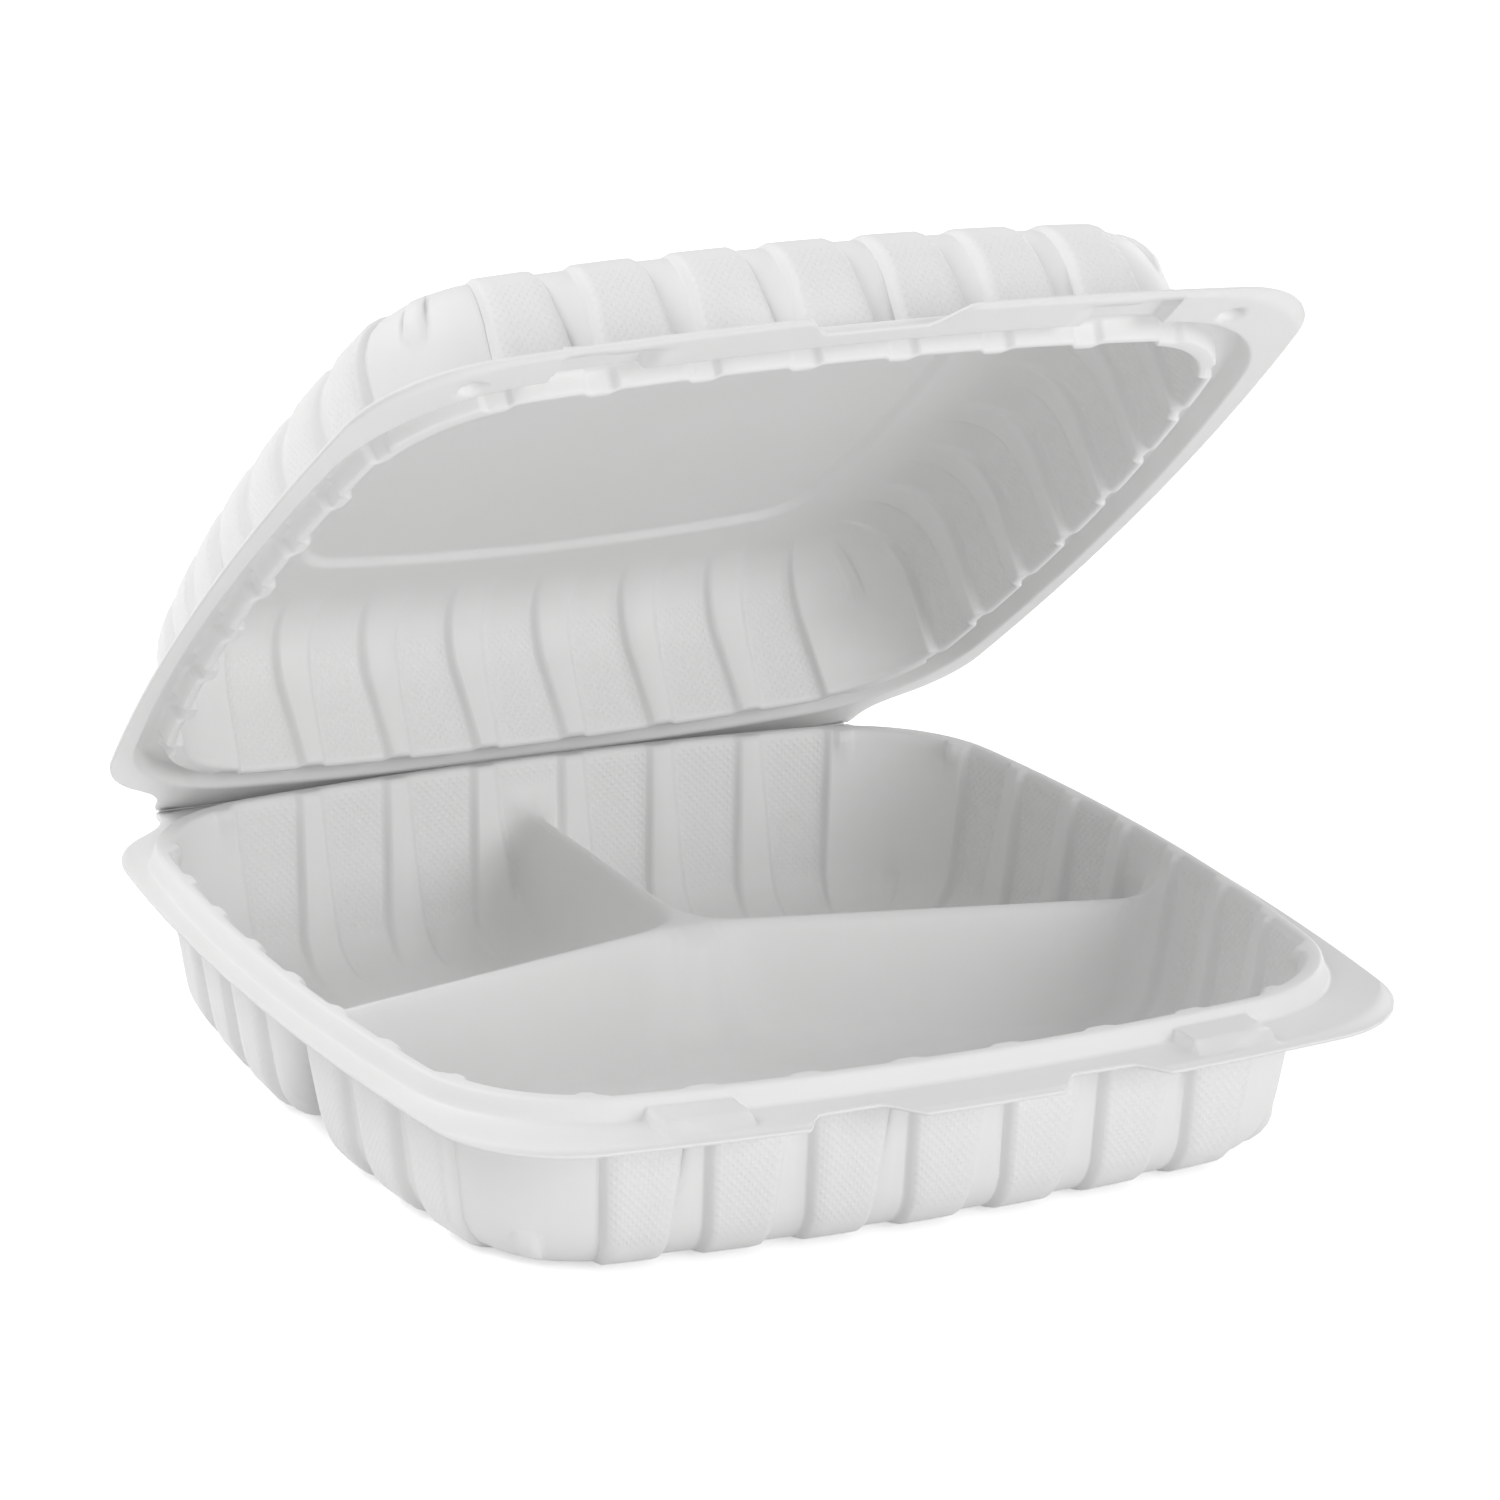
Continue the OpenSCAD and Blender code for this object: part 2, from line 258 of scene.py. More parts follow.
def outline_point(form, turn, r):
    """Plan position on the parallel wall outline of corner radius r, where its normal points along turn.

    Each quarter turn holds one long arc and two half corners: an arc's centre plus radius times the normal.
    """
    size = form.size
    quarter = np.round(turn / (math.pi / 2))
    local = turn - quarter * math.pi / 2
    side = np.abs(local) <= form.arc_half
    cx = np.where(side, form.arc_c, size.corner)
    cy = np.where(side, 0, np.sign(local) * size.corner)
    reach = np.where(side, form.arc_r - size.mouth_r, 0) + r
    px, py = cx + reach * np.cos(local), cy + reach * np.sin(local)
    c, s = np.cos(quarter * math.pi / 2), np.sin(quarter * math.pi / 2)
    return px * c - py * s, px * s + py * c


def turn_at(form, along):
    """Normal direction, from a side's own, at a signed distance along the mouth from the side's middle."""
    straight = form.arc_r * form.arc_half
    beyond = np.maximum(np.abs(along) - straight, 0)
    return np.sign(along) * (np.minimum(np.abs(along), straight) / form.arc_r + beyond / form.size.mouth_r)


def rib_lines(form):
    """Distances along one side at which lines run up the wall, dense on the ribs' slanted sides."""
    side = form.size.rib_side
    flank = form.rib_half + side * np.array([-0.2, 0.1, 0.37, 0.63, 0.9, 1.2])
    half = np.concatenate([[0.0, form.rib_half * 0.55], flank, [form.pitch / 2]])
    one = np.concatenate([-half, half])
    centres = (np.arange(form.size.rib_count) - (form.size.rib_count - 1) / 2) * form.pitch
    ribs = (centres[:, None] + one[None, :]).ravel()
    end = centres[-1] + form.rib_half + side * 1.25
    corner = np.linspace(end, form.side_half, 8)[1:]
    lug = form.lug_at + np.array([-2.2, -1.2, 0, 1.2, 2.2, 3.2]) * MM
    crease = form.side_half - np.array([0.9, 1.7, 2.6]) * MM
    corner = np.concatenate([corner, lug, crease])
    return np.concatenate([-corner, ribs[np.abs(ribs) < end + side], corner])


def perimeter(form, marks):
    """All lines round the mouth, as side number and distance along it; marks adds lines to single sides."""
    step = 0.3 * MM
    sides, along = [], []
    for k in range(4):
        s = np.concatenate([rib_lines(form), marks.get(k, np.zeros(0))])
        s = np.unique(np.round(s[np.abs(s) < form.side_half - step] / step)) * step
        s = np.concatenate([s, [form.side_half]])
        along.append(s)
        sides.append(np.full(len(s), k))
    return np.concatenate(sides), np.concatenate(along)


def rib_share_at(form, along):
    """1 on a rib's face, 0 in the groove between ribs, and a straight fall over the slanted side."""
    last = (form.size.rib_count - 1) / 2
    centre = np.clip(np.round(along / form.pitch), -last, last) * form.pitch
    side = form.size.rib_side
    return np.clip((form.rib_half + side - np.abs(along - centre)) / side, 0, 1)


def drawn_in(form, along, part):
    """Distance along the mouth moved towards the nearest rib's middle, as ribs narrow away from the mouth.

    Inside a rib distances from its middle shrink in proportion; between ribs they stretch to fill the rest.
    """
    size = form.size
    last = (size.rib_count - 1) / 2 * form.pitch
    centre = np.clip(np.round(along / form.pitch) * form.pitch, -last, last)
    off = along - centre
    edge = form.rib_half + size.rib_side
    outer = (np.abs(centre) > last - form.pitch / 2) & (off * centre > 0)
    reach = np.where(outer, form.side_half - last, form.pitch / 2)
    shift = size.rib_taper * part
    far = np.abs(off)
    inside = far * (edge - shift) / edge
    outside = edge - shift + (far - edge) * (reach - edge + shift) / (reach - edge)
    return centre + np.sign(off) * np.where(far < edge, inside, outside)


class Cup:
    """One ribbed cup of the container: its height, flat end, fillet, mouth and the draft of its wall."""

    def __init__(self, size, lid):
        self.divided = not lid
        if lid:
            self.h, self.flat_r, self.fillet = size.lid_h + size.step_h, size.lid_flat_r, size.lid_fillet
            mouth_r, self.rim, self.bend = size.lid_mouth_r, size.rib_lip, 1 * MM
        else:
            self.h, self.flat_r, self.fillet = size.tray_h, size.tray_flat_r, size.tray_fillet
            mouth_r, self.rim, self.bend = size.mouth_r, size.rib_rim, 1.3 * MM
        dx, dz = mouth_r - self.flat_r, self.h - self.fillet
        meet = math.atan2(dz, dx) - math.acos(self.fillet / math.hypot(dx, dz))
        self.slope, self.cos = -math.tan(meet), math.cos(meet)
        self.mouth = mouth_r - size.sheet / self.cos


def arm_distance(form, x, y):
    """Distance in plan to the nearest of the divider's three arms, rounded where two arms meet."""
    px, py = x - form.meet[0], y - form.meet[1]
    ways = []
    for arm in form.arms:
        t = np.maximum(px * arm[0] + py * arm[1], 0)
        ways.append(np.hypot(px - t * arm[0], py - t * arm[1]))
    return soft_min(soft_min(ways[0], ways[2], 4 * MM), ways[1], 13 * MM)


def cup_height(form, cup, x, y, rib):
    """Height of a cup's inner surface over plan points, above the outside of its flat end.

    It is the height at which the softened least of three distances becomes zero: to the flat end, to the
    ribbed wall, and to the divider's faces. All three grow with height, so halving an interval finds it.
    """
    size = form.size
    r = bowed_radius(x, y, size.corner, size.corner, size.mouth_r, size.bow)
    flat = np.full(np.broadcast(x, rib).shape, size.sheet)
    if cup.divided:
        reach = arm_distance(form, x, y)
        top = cup.h - size.divider_drop
        draft = size.divider_draft
    else:
        inner = size.corner - size.panel_inset
        edge = bowed_radius(x, y, inner, inner, cup.flat_r, size.bow) - cup.flat_r
        flat = flat - size.panel_h * ease(0.5 - edge / (1.8 * size.panel_h))
    low = np.full(flat.shape, -4 * MM)
    high = np.full(flat.shape, cup.h + 6 * MM)
    for _ in range(CUP_HALVINGS):
        z = (low + high) / 2
        depth = size.rib_depth + (cup.rim - size.rib_depth) * ease(1 - (cup.h - z) / size.rib_fade)
        wall = (cup.mouth + rib * depth - (cup.h - z) * cup.slope - r) * cup.cos
        free = soft_min(z - flat, wall, cup.fillet * 1.2)
        if cup.divided:
            face = (reach - size.divider_top / 2 - (top - z) * math.tan(draft)) * math.cos(draft)
            free = soft_min(free, soft_max(face, z - top, 2.4 * MM), 8 * MM)
        below = free < 0
        low = np.where(below, z, low)
        high = np.where(below, high, z)
    return (low + high) / 2


def flange_free(form, x, y, lid):
    """Signed distance to the edge of the flange and its half of the hinge strip in plan, below zero on them."""
    size = form.size
    mid = (form.flange_y1 - form.flange_y0) / 2
    half = (form.flange_y1 + form.flange_y0) / 2
    r = size.flange_r
    body = bowed_radius(x, y - mid, form.flange_x - r, half - r, r, size.flange_bow) - r
    end = y - (form.hinge_y - size.gap / 2)
    strip = np.maximum(np.maximum(np.abs(x) - form.hinge_half, end), -y)
    whole = np.maximum(soft_min(body, strip, 9 * MM), end)
    ax = np.abs(x)
    ramp = 8 * MM
    if lid:
        cut = 1 - ease((ax - size.tab_half + 6 * MM) / ramp)
    else:
        tab_end = ease((ax - size.tab_half + 3 * MM) / ramp)
        cut = tab_end * (1 - ease((ax - size.wide_from + 5 * MM) / ramp))
    front = -y - (form.front_edge - size.cut_back * cut)
    return np.maximum(whole, np.where(cut > 0, front, -1))


def flange_reach(form, turn, lid):
    """Width of the flange from the step's foot out to its edge, found by halving along each line."""
    low, high = np.zeros(turn.shape), np.full(turn.shape, 40 * MM)
    for _ in range(EDGE_HALVINGS):
        t = (low + high) / 2
        x, y = outline_point(form, turn, form.foot_r + t)
        on = flange_free(form, x, y, lid) < 0
        low = np.where(on, t, low)
        high = np.where(on, high, t)
    return low


def lip_rows(form, start, along):
    """Rows of the lid's lip as corner radius and height: flat face, rounded edge, outer wall, hollow corner.

    The wall slopes outwards over the step's height, and is set back at each gap between ribs.
    """
    size = form.size
    half = size.rib_count / 2
    gap = np.clip(np.floor(along / form.pitch) + 0.5, -half, half) * form.pitch
    lip = size.lip_r - size.lip_channel * ease((4 * MM - np.abs(along - gap)) / (1.8 * MM))
    edge, lean = RIM_EDGE, LIP_LEAN
    rows = [((start + lip - edge) / 2, 0)]
    rows += [(lip - edge + edge * math.sin(a), edge * (math.cos(a) - 1)) for a in EDGE_ARC]
    rows += [(lip + lean * part, -size.step_h * part) for part in (0.4, 0.66)]
    top = edge - size.step_h
    rows += [(lip + lean + edge - edge * math.sin(a), top - edge * math.cos(a)) for a in HOLLOW_ARC]
    return rows


def rim_rows(form, cup, turn, rib, along):
    """Rows of the rim from the mouth's rounded edge out to the flange's edge, as plan position and height.

    In section: a quarter arc, on the lid the lip, then the flat ledge, a small arc, the sloped step, a
    second small arc and the flange, whose rows spread over the flange's own width at each line.
    """
    size = form.size
    lid = not cup.divided
    grow = size.gap if lid else 0
    ones = np.ones(turn.shape)
    mouth = cup.mouth + rib * cup.rim
    bend, edge = cup.bend, RIM_EDGE
    inner = [(mouth + bend * (1 - math.cos(a)), bend * (math.sin(a) - 1)) for a in MOUTH_ARC]
    if lid:
        inner += lip_rows(form, inner[-1][0], along)
    ledge, foot = form.ledge_r + grow, form.foot_r + grow
    inner.append(((inner[-1][0] + ledge - edge) / 2, inner[-1][1]))
    outer = [(ledge - edge + edge * math.sin(a), edge * (1 - math.cos(a))) for a in EDGE_ARC]
    outer += [(ledge + size.step_run * part, size.step_h * part) for part in (0.36, 0.62)]
    low = size.step_h - edge
    outer += [(foot + edge - edge * math.sin(a), low + edge * math.cos(a)) for a in HOLLOW_ARC]
    end = form.foot_r + flange_reach(form, turn, lid)
    spread = np.minimum((end - 0.5 * MM - foot - edge) / FLANGE_ROWS[-1], 1)
    outer += [(foot + edge + row * spread, size.step_h) for row in FLANGE_ROWS]
    outer.append((end, size.step_h))
    radii = np.array([r * ones for r, _ in inner + outer])
    x, y = outline_point(form, turn[None, :], radii)
    drops = np.array([d * ones for _, d in outer])
    ox, oy = x[len(inner):], y[len(inner):]
    deep = (form.foot_front + size.latch_out - size.corner - size.mouth_r) / 2
    away = np.maximum(
        np.abs(np.abs(ox) - form.latch_x) - size.latch_w / 2 - grow,
        np.abs(oy + form.foot_front + size.latch_out - deep) - deep - grow,
    )
    drops = soft_min(drops, size.latch_drop + np.maximum(away, 0) * 3.2, 0.5 * MM)
    if lid:
        near = np.hypot(np.abs(ox) - form.dimple[0], oy - form.dimple[1])
        drops = drops - 2.4 * MM * ease((size.dimple_r - near) / (size.dimple_r * 0.75))
    levels = np.array([d * ones for _, d in inner])
    return x, y, cup.h + np.concatenate([levels, drops - size.step_h if lid else -drops])


def wall_radii(form, cup, rib):
    """Rows of corner radius from the flat end's edge over the fillet and up the wall to below the mouth.

    The second array tells how far down the wall each row is, from 0 at the mouth to 1 at the flat end.
    """
    plain = cup.mouth - (cup.h - cup.fillet) * cup.slope
    start = plain - cup.fillet * 1.25
    turn = plain + rib * form.size.rib_depth
    bend = np.sin(np.linspace(0, math.pi / 2, 10))
    fillet = start + (turn - start)[None, :] * bend[:, None]
    last = cup.mouth + rib * cup.rim - cup.bend * cup.slope
    rise = np.array([0.15, 0.3, 0.45, 0.6, 0.74, 0.87, 0.95, 1])
    wall = turn[None, :] + (last - turn)[None, :] * rise[:, None]
    tall = (cup.h - cup.fillet) / cup.h
    part = np.concatenate([np.linspace(1, tall, 10), tall * (1 - rise)])
    return np.concatenate([fillet, wall]), part[:, None]


def divided_floor(form, ends):
    """Plan rows over the tray's floor, from the divider's meeting point out to the given wall points.

    Beside an arm the lines run parallel to it; further off they fan out. Offset from the arm is the wall
    point's own offset times one less an exponential of the way gone, scaled to reach the wall; the two arms
    beside a compartment are blended across it.
    """
    rel = ends - form.meet
    far = np.hypot(rel[:, 0], rel[:, 1])
    near = MEET_ROWS[:, None] / far
    wall = 1 - WALL_ROWS[:, None] / far
    mid = near[-1] + (wall[0] - near[-1]) * np.linspace(0, 1, 6)[1:-1, None]
    v = np.concatenate([near, mid, wall])
    heading = np.arctan2(rel[:, 1], rel[:, 0])
    arm_turn = np.arctan2(form.arms[:, 1], form.arms[:, 0])
    gone = np.mod(heading[:, None] - arm_turn[None, :], 2 * math.pi)
    first = np.argmin(gone, axis=1)
    second = (first + 1) % 3
    opening = np.mod(arm_turn[second] - arm_turn[first], 2 * math.pi)
    share = ease((gone[np.arange(len(ends)), first] / opening - 0.25) / 0.5)
    out = 0
    for which, part in ((first, 1 - share), (second, share)):
        arm = form.arms[which]
        side = np.stack([-arm[:, 1], arm[:, 0]], axis=1)
        along, off = (rel * arm).sum(1), (rel * side).sum(1)
        pull = far / (2.5 * (np.abs(off) + 0.2 * MM))
        bent = off * (1 - np.exp(-v * pull)) / (1 - np.exp(-pull))
        point = (along * v)[..., None] * arm + bent[..., None] * side
        out = out + point * part[:, None]
    return out + form.meet


def panelled_top(form, cup, ends):
    """Plan rows over the lid's top, from its middle out to the given points, dense at the panel's edge."""
    inner, flat_r, bow = form.size.corner - form.size.panel_inset, cup.flat_r, form.size.bow
    low, high = np.zeros(len(ends)), np.ones(len(ends))
    for _ in range(EDGE_HALVINGS):
        t = (low + high) / 2
        on = bowed_radius(ends[:, 0] * t, ends[:, 1] * t, inner, inner, flat_r, bow) < flat_r
        low = np.where(on, t, low)
        high = np.where(on, high, t)
    far = np.hypot(ends[:, 0], ends[:, 1])
    v = np.concatenate([low[None, :] * np.array([[0.4], [0.75]]), low + PANEL_ROWS[:, None] / far])
    return v[..., None] * ends


def small_marks(form, cup, grid, turn, along, first, last):
    """Pushes the lugs under the tray's mouth inwards and the crease in each corner's fillet outwards.

    Both are eased bumps: across by the distance along the mouth, up and down by the height over the flat
    end. They are kept to the rows of the wall, from first to last.
    """
    lug_half, lug_in, crease_half, crease_out = 2.4 * MM, 1.3 * MM, 2.9 * MM, 1.1 * MM
    out = np.stack([np.cos(turn), np.sin(turn)], axis=-1)
    z = grid[..., 2]
    rows = np.arange(len(grid))[:, None]
    across = ease((lug_half - np.abs(np.abs(along) - form.lug_at)) / (1.2 * MM)) * cup.divided
    under = ease((z - cup.h + 5.5 * MM) / (2 * MM)) * (rows >= first) * (rows < last + len(MOUTH_ARC))
    push = -lug_in * across * under
    crease = ease((crease_half - (form.side_half - np.abs(along))) / (1.4 * MM))
    low = ease((z - 1.5 * MM) / (2.5 * MM)) * ease((cup.fillet * 1.1 - z) / (4 * MM))
    push = push + crease_out * crease * low * (rows >= first) * (rows < last)
    grid[..., :2] += push[..., None] * out
    return grid


def side_marks(form, cup):
    """Distances of extra lines along single sides: 0 is the right side, 1 the back, 2 the left and 3 the front.

    They lie close at the latches, the tab's ends, the hinge's ends, the lid's dimples and the divider's arms.
    """
    size = form.size
    latch_half = size.latch_w / 2
    front = [
        form.latch_x - latch_half - LATCH_LINES,
        form.latch_x + latch_half + LATCH_LINES,
        size.tab_half + np.linspace(-6, 5, 9) * MM,
        size.wide_from + np.linspace(-5, 3, 8) * MM,
    ]
    if not cup.divided:
        front.append(np.linspace(76, 88, 13) * MM)
    front = np.concatenate(front)
    tips = form.hinge_half + np.linspace(-6, 4, 11) * MM
    marks = {3: np.concatenate([-front, front]), 1: np.concatenate([-tips, tips])}
    if cup.divided:
        beside = np.concatenate([-ARM_LINES, ARM_LINES])
        reach = size.corner + size.mouth_r
        hit = size.divider_meet - reach * math.tan(size.divider_lean)
        marks[0] = hit + beside
        marks[2] = -hit + beside
        marks[1] = np.concatenate([marks[1], beside])
    return marks


def moulded_sheet(form, cup):
    """Grid of one half of the container, with rows from the middle outwards and lines round it.

    The plan rows come first, then the height of the cup over them, then the rim's own rows. With the grid come
    the rib share at each point, each line's distance round the mouth, and each point's way along its line.
    """
    size = form.size
    side, along = perimeter(form, side_marks(form, cup))
    turn = side * math.pi / 2 + turn_at(form, along)
    rib = rib_share_at(form, along)
    radii, part = wall_radii(form, cup, rib)
    wall_turn = side * math.pi / 2 + turn_at(form, drawn_in(form, along[None, :], part))
    wx, wy = outline_point(form, wall_turn, radii)
    ends = np.stack([wx[0], wy[0]], axis=1)
    floor = divided_floor(form, ends) if cup.divided else panelled_top(form, cup, ends)
    middle = np.tile(form.meet if cup.divided else np.zeros(2), (1, len(turn), 1))
    px = np.concatenate([middle[..., 0], floor[..., 0], wx])
    py = np.concatenate([middle[..., 1], floor[..., 1], wy])
    pz = cup_height(form, cup, px, py, rib[None, :])
    face = np.zeros(pz.shape)
    face[-len(radii):] = rib * ease((pz[-len(radii):] - 2 * MM) / (6 * MM))
    if cup.divided:
        top = cup.h - size.divider_drop
        beside = ease((arm_distance(form, px, py) - 9 * MM) / (4 * MM))
        face = face * np.maximum(beside, ease((pz - top - 4 * MM) / (3 * MM)))
    rim = rim_rows(form, cup, turn, rib, along)
    grid = np.stack([np.concatenate(pair) for pair in zip((px, py, pz), rim)], axis=-1)
    grid = small_marks(form, cup, grid, turn, along, len(pz) - len(radii), len(pz))
    face = np.concatenate([face, np.zeros(rim[2].shape)])
    steps = np.linalg.norm(np.diff(grid, axis=0), axis=2)
    run = np.concatenate([np.zeros((1, len(turn))), np.cumsum(steps, axis=0)])
    run = run - run[len(pz) - 1]
    around = side * 2 * form.side_half + along
    return grid, face, around, run


def shell_object(name, form, grid, face, around, run, flip):
    """Puts a grid of rows and closed lines into a mesh with one vertex at its middle, and thickens it.

    Faces are quads between neighbouring rows and lines, and a fan of triangles round the middle. Distances
    round the mouth and along each line become the UV map; the rib share becomes the attribute rib_face.
    """
    rows, lines = grid.shape[:2]
    points = np.concatenate([grid[0, :1], grid[1:].reshape(-1, 3)])
    j = np.arange(lines)
    k = (j + 1) % lines
    index = 1 + np.arange((rows - 1) * lines).reshape(rows - 1, lines)
    fan = np.stack([np.zeros(lines, int), index[0, j], index[0, k]], axis=1)
    quads = np.stack([index[:-1], index[1:], index[1:][:, k], index[:-1][:, k]], axis=-1).reshape(-1, 4)
    wide = np.concatenate([around, [around[0] + 8 * form.side_half]])
    u = np.broadcast_to(wide, (rows, lines + 1))
    v = np.concatenate([run, run[:, :1]], axis=1)
    uv = np.stack([u, v], axis=-1)
    fan_uv = np.stack([uv[0, :-1], uv[1, :-1], uv[1, 1:]], axis=1)
    quad_uv = np.stack([uv[1:-1, :-1], uv[2:, :-1], uv[2:, 1:], uv[1:-1, 1:]], axis=2).reshape(-1, 4, 2)
    if flip:
        fan, quads, fan_uv, quad_uv = fan[:, ::-1], quads[:, ::-1], fan_uv[:, ::-1], quad_uv[:, ::-1]
    mesh = bpy.data.meshes.new(name)
    corners = np.concatenate([fan.ravel(), quads.ravel()]).astype(np.int32)
    starts = np.concatenate([np.arange(lines) * 3, lines * 3 + np.arange(len(quads)) * 4]).astype(np.int32)
    mesh.vertices.add(len(points))
    mesh.vertices.foreach_set("co", points.astype(np.float32).ravel())
    mesh.loops.add(len(corners))
    mesh.loops.foreach_set("vertex_index", corners)
    mesh.polygons.add(len(starts))
    mesh.polygons.foreach_set("loop_start", starts)
    mesh.polygons.foreach_set("use_smooth", np.ones(len(starts), bool))
    layer = mesh.uv_layers.new(name="UVMap")
    flat_uv = np.concatenate([fan_uv.reshape(-1, 2), quad_uv.reshape(-1, 2)])
    layer.data.foreach_set("uv", flat_uv.astype(np.float32).ravel())
    mark = mesh.attributes.new("rib_face", "FLOAT", "POINT")
    mark.data.foreach_set("value", np.concatenate([face[0, :1], face[1:].ravel()]).astype(np.float32))
    mesh.update()
    mesh.validate()
    obj = bpy.data.objects.new(name, mesh)
    bpy.context.scene.collection.objects.link(obj)
    solid = obj.modifiers.new("sheet", "SOLIDIFY")
    solid.thickness = form.size.sheet
    solid.offset = -1
    solid.use_quality_normals = True
    return obj


def opened(form, points):
    """Turns points of the closed lid about the fold line to where the lid stands."""
    a = form.size.lid_open
    y, z = points[..., 1] - form.hinge_y, points[..., 2] - form.hinge_z
    out = points.copy()
    out[..., 1] = form.hinge_y + y * math.cos(a) + z * math.sin(a)
    out[..., 2] = form.hinge_z - y * math.sin(a) + z * math.cos(a)
    return out


def hinge_web(form):
    """Thin web round the fold: an arc about the fold line with straight ends in both strips, carried along x.

    Its section is the arc's centre line moved out and in by half the web's thickness, closed at both ends.
    """
    size = form.size
    mid = size.gap / 2 + size.sheet / 2
    arc = np.linspace(-math.pi / 2, math.pi / 2 - size.lid_open, 15)
    start, end = arc[0], arc[-1]
    tail = np.array([2.0, 1.2, 0.5]) * MM
    turns = np.concatenate([np.full(3, start), arc, np.full(3, end)])
    back = np.concatenate([-tail, np.zeros(len(arc)), tail[::-1]])
    loops = []
    for r in (mid + WEB_HALF, mid - WEB_HALF):
        y = r * np.cos(turns) - back * np.sin(turns)
        z = r * np.sin(turns) + back * np.cos(turns)
        loops.append(np.stack([y, z], axis=1))
    section = np.concatenate([loops[0], loops[1][::-1]])
    xs = np.linspace(-form.hinge_half + 1.5 * MM, form.hinge_half - 1.5 * MM, 60)
    n, m = len(xs), len(section)
    points = np.empty((n, m, 3))
    points[..., 0] = xs[:, None]
    points[..., 1] = form.hinge_y + section[None, :, 0]
    points[..., 2] = form.hinge_z + section[None, :, 1]
    index = np.arange(n * m).reshape(n, m)
    nxt = np.roll(np.arange(m), -1)
    quads = np.stack([index[:-1], index[1:], index[1:][:, nxt], index[:-1][:, nxt]], axis=-1).reshape(-1, 4)
    faces = quads.tolist() + [index[0].tolist(), index[-1][::-1].tolist()]
    mesh = bpy.data.meshes.new("hinge_web")
    mesh.from_pydata(points.reshape(-1, 3).tolist(), [], faces)
    mesh.polygons.foreach_set("use_smooth", np.ones(len(faces), bool))
    mesh.update()
    obj = bpy.data.objects.new("hinge_web", mesh)
    bpy.context.scene.collection.objects.link(obj)
    return obj


def node(tree, kind, **sockets):
    """Adds a shader node and sets the named input sockets."""
    made = tree.nodes.new(kind)
    for key, value in sockets.items():
        made.inputs[key.replace("_", " ")].default_value = value
    return made


def maths(tree, operation, a, b=None):
    """Adds a math node on two sockets or numbers and returns its output."""
    made = tree.nodes.new("ShaderNodeMath")
    made.operation = operation
    for k, value in enumerate((a, b)):
        if value is None:
            continue
        if isinstance(value, (int, float)):
            made.inputs[k].default_value = value
        else:
            tree.links.new(value, made.inputs[k])
    return made.outputs[0]


def plastic_material(name, colour, size, woven):
    """Satin white plastic: faint clouding in colour and gloss, a fine moulded grain, and the ribs' texture.

    The basket texture is the product of two sines, round and up the wall, where that is above zero, so
    beads stand in staggered rows.
    """
    material = bpy.data.materials.new(name)
    material.use_nodes = True
    tree = material.node_tree
    link = tree.links.new
    tree.nodes.clear()
    out = tree.nodes.new("ShaderNodeOutputMaterial")
    shader = node(tree, "ShaderNodeBsdfPrincipled", IOR=1.49)
    link(shader.outputs[0], out.inputs[0])
    place = tree.nodes.new("ShaderNodeTexCoord")
    cloud = node(tree, "ShaderNodeTexNoise", Scale=28.0, Detail=3.0, Roughness=0.5)
    link(place.outputs["Object"], cloud.inputs["Vector"])
    tint = tree.nodes.new("ShaderNodeValToRGB")
    tint.color_ramp.elements[0].position = 0.3
    tint.color_ramp.elements[1].position = 0.7
    tint.color_ramp.elements[0].color = (colour[0] * 0.985, colour[1] * 0.985, colour[2] * 0.982, 1)
    tint.color_ramp.elements[1].color = (*colour, 1)
    link(cloud.outputs[0], tint.inputs[0])
    link(tint.outputs[0], shader.inputs["Base Color"])
    gloss = node(tree, "ShaderNodeMapRange", From_Min=0.3, From_Max=0.7, To_Min=0.5, To_Max=0.6)
    link(cloud.outputs[0], gloss.inputs[0])
    link(gloss.outputs[0], shader.inputs["Roughness"])
    grain = node(tree, "ShaderNodeTexNoise", Scale=1400.0, Detail=2.0, Roughness=0.6)
    link(place.outputs["Object"], grain.inputs["Vector"])
    fine = node(tree, "ShaderNodeBump", Strength=0.25, Distance=0.05 * MM)
    link(grain.outputs[0], fine.inputs["Height"])
    if woven:
        uv = tree.nodes.new("ShaderNodeUVMap")
        uv.uv_map = "UVMap"
        split = tree.nodes.new("ShaderNodeSeparateXYZ")
        link(uv.outputs[0], split.inputs[0])
        turn = 2 * math.pi / size.weave
        first = maths(tree, "SINE", maths(tree, "MULTIPLY", split.outputs[0], turn))
        second = maths(tree, "SINE", maths(tree, "MULTIPLY", split.outputs[1], turn))
        mark = tree.nodes.new("ShaderNodeAttribute")
        mark.attribute_name = "rib_face"
        beads = maths(tree, "MAXIMUM", maths(tree, "MULTIPLY", first, second), 0.0)
        beads = maths(tree, "MULTIPLY", beads, maths(tree, "POWER", mark.outputs["Fac"], 6))
        weave = node(tree, "ShaderNodeBump", Strength=1.0, Distance=size.weave_depth)
        link(beads, weave.inputs["Height"])
        link(weave.outputs[0], fine.inputs["Normal"])
    link(fine.outputs[0], shader.inputs["Normal"])
    return material


class CONTAINER_OT_tray(bpy.types.Operator):
    """Builds the tray with its divider, ribs, rim, latches and finger tab"""

    bl_idname = "container.tray"
    bl_label = "Tray"

    def execute(self, context):
        size = context.scene.container_sizes
        form = Form(size)
        cup = Cup(size, False)
        grid, face, around, run = moulded_sheet(form, cup)
        obj = shell_object("tray_shell", form, grid, face, around, run, False)
        colour = context.scene.container_colours.plastic
        obj.data.materials.append(plastic_material("tray_plastic", colour, size, True))
        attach(obj, "tray")
        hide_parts("tray")
        return {"FINISHED"}


